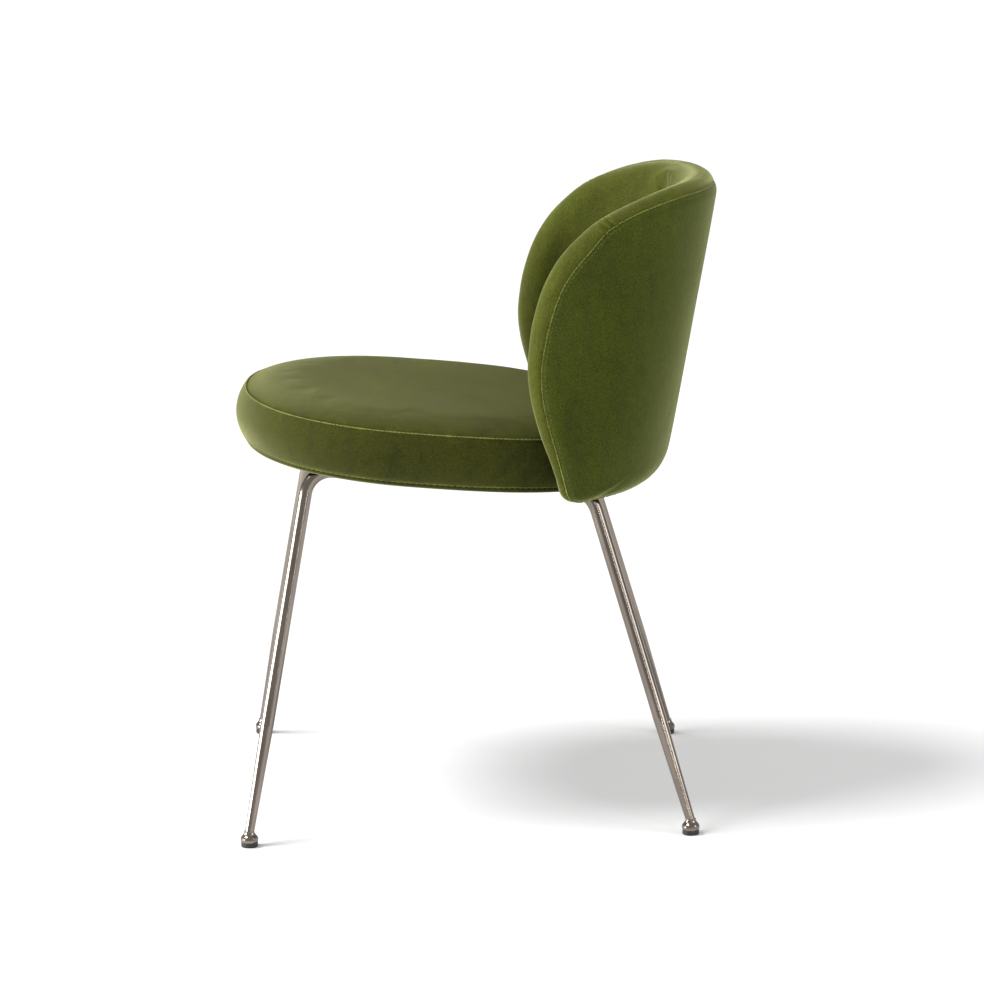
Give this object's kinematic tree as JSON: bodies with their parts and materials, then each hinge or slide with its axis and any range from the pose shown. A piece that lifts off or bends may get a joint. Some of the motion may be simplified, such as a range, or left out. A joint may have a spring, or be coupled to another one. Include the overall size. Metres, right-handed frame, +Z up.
{
  "type": "dining chair",
  "caption": "Upholstered dining chair: round cushion seat, wrap-around padded back and slim splayed tube legs on turned feet.",
  "frame": {"origin": "on the floor, under the middle of the chair's overall box", "axes": "+Z up, the chair's front faces -Y, the sitter's left is +X"},
  "size_m": [0.5058, 0.5397, 0.7086],
  "materials": {
    "velvet": "moss green cotton velvet with a short pile",
    "bronze_metal": "satin warm grey bronze",
    "glide_plastic": "matt black",
    "zinc_steel": "zinc plated",
    "plywood": "raw birch plywood",
    "foam": "open-cell upholstery foam",
    "cord": "spun paper cord",
    "dust_cloth": "black non-woven cloth"
  },
  "bodies": {
    "root": {"left_side_frame": "bronze_metal", "right_side_frame": "bronze_metal", "front_cross_tube": "bronze_metal", "rear_cross_tube": "bronze_metal", "frame_tabs": "bronze_metal", "feet_metal": "bronze_metal", "foot_studs": "zinc_steel", "glide_pads": "glide_plastic", "frame_screws": "zinc_steel", "frame_washers": "zinc_steel", "seat_t_nuts": "zinc_steel", "seat_board": "plywood", "seat_foam": "foam", "seat_topper": "foam", "seat_top_cover": "velvet", "seat_side_cover": "velvet", "seat_hem_cord": "cord", "dust_cover": "dust_cloth", "cover_staples": "zinc_steel", "back_core": "plywood", "back_inner_foam": "foam", "back_outer_foam": "foam", "back_inner_cover": "velvet", "back_outer_cover": "velvet", "left_back_strap": "zinc_steel", "right_back_strap": "zinc_steel", "strap_seat_screws": "zinc_steel", "strap_core_screws": "zinc_steel"}
  },
  "joints": []
}
